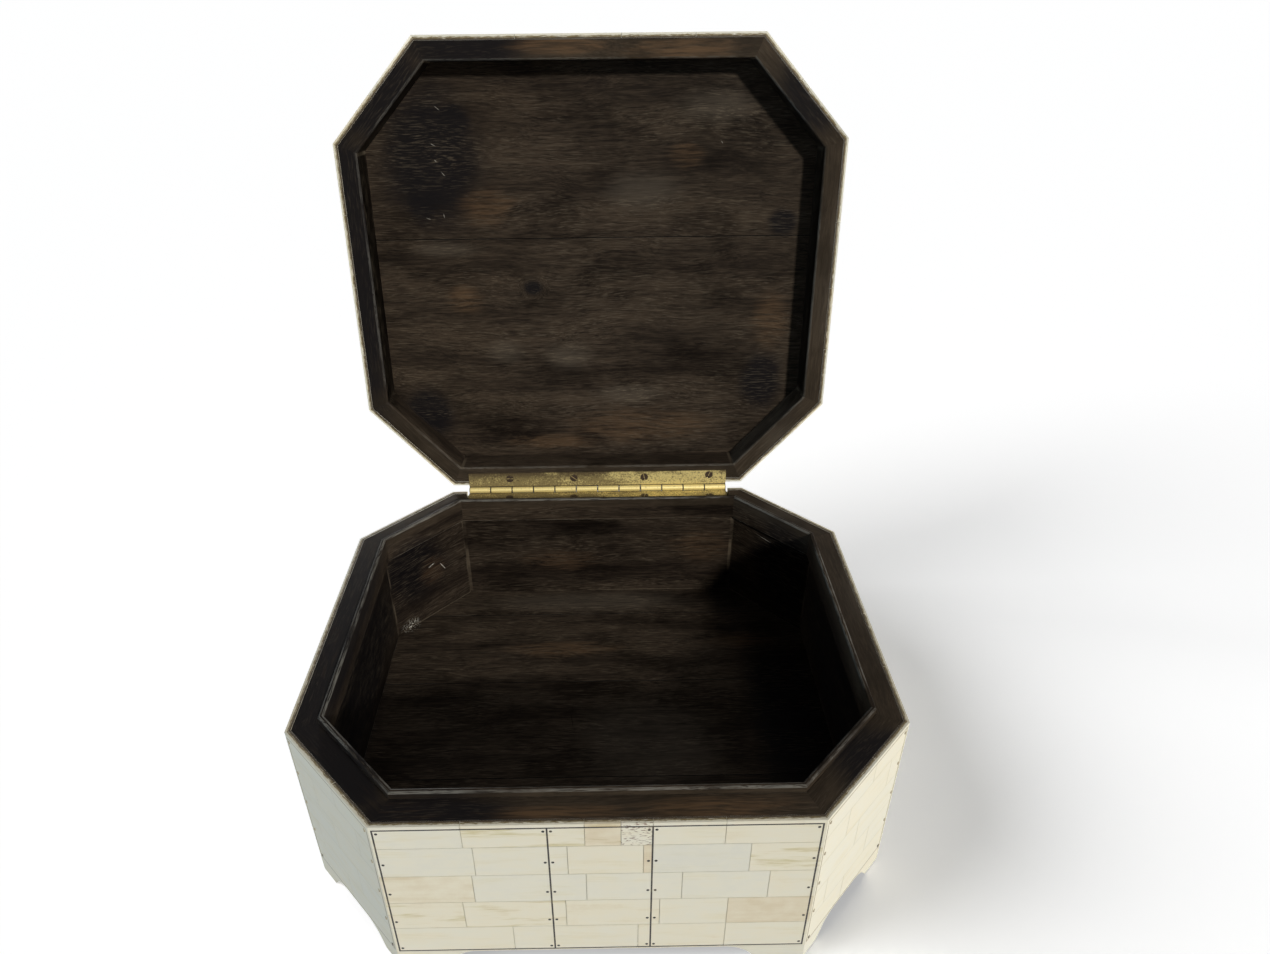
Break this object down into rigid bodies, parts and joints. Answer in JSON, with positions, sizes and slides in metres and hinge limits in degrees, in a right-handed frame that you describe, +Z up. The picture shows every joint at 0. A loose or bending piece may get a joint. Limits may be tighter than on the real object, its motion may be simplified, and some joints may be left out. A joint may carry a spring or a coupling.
{
  "type": "dowry chest",
  "caption": "Eight-sided wooden chest on low bracket feet, clad in bone tiles, with a full-size lid on a piano hinge and a proud lip round the rim.",
  "frame": {"origin": "on the floor, in the middle of the footprint of the whole chest with its lid standing open, which is 45.8 mm behind the middle of the box", "axes": "+Z up; the front faces -Y and the hinge runs along X at the back; +X is to the right seen from the front"},
  "size_m": [0.38, 0.4376, 0.4785],
  "materials": {
    "dark_wood": "hardwood stained almost black, thin satin wax, rubbed brown at the edges",
    "bone": "polished bone tiles, cream to grey, satin",
    "black_lac": "black lac, dull",
    "aged_brass": "aged brass, brown in the hollows, rubbed bright on the barrel",
    "hinge_screws": "tarnished brass"
  },
  "bodies": {
    "box": {"wall_front": "dark_wood", "wall_front_right": "dark_wood", "wall_right": "dark_wood", "wall_back_right": "dark_wood", "wall_back": "dark_wood", "wall_back_left": "dark_wood", "wall_left": "dark_wood", "wall_front_left": "dark_wood", "lip_front": "dark_wood", "lip_front_right": "dark_wood", "lip_right": "dark_wood", "lip_back_right": "dark_wood", "lip_back": "dark_wood", "lip_back_left": "dark_wood", "lip_left": "dark_wood", "lip_front_left": "dark_wood", "floor_plank_1": "dark_wood", "floor_plank_2": "dark_wood", "floor_plank_3": "dark_wood", "floor_plank_4": "dark_wood", "bone_front": "bone", "bone_front_right": "bone", "bone_right": "bone", "bone_back_right": "bone", "bone_back": "bone", "bone_back_left": "bone", "bone_left": "bone", "bone_front_left": "bone", "inlay_lines": "black_lac", "inlay_dots": "black_lac", "foot_front_left": "dark_wood", "foot_front_right": "dark_wood", "foot_right_front": "dark_wood", "foot_right_back": "dark_wood", "foot_back_right": "dark_wood", "foot_back_left": "dark_wood", "foot_left_back": "dark_wood", "foot_left_front": "dark_wood", "foot_bone": "bone", "hinge_box_leaf": "aged_brass", "hinge_pin": "aged_brass", "hinge_box_screws": "hinge_screws"},
    "lid": {"lid_rim_front": "dark_wood", "lid_rim_front_right": "dark_wood", "lid_rim_right": "dark_wood", "lid_rim_back_right": "dark_wood", "lid_rim_back": "dark_wood", "lid_rim_back_left": "dark_wood", "lid_rim_left": "dark_wood", "lid_rim_front_left": "dark_wood", "lid_plank_1": "dark_wood", "lid_plank_2": "dark_wood", "lid_bone_edges": "bone", "lid_bone_top": "bone", "lid_inlay_lines": "black_lac", "lid_inlay_dots": "black_lac", "hinge_lid_leaf": "aged_brass", "hinge_lid_screws": "hinge_screws"}
  },
  "joints": [
    {"name": "lid_hinge", "type": "hinge", "parent": "box", "child": "lid", "pos_m": [0, 0.13101, 0.1316], "axis": [1, 0, 0], "range_deg": [0, 97]}
  ]
}
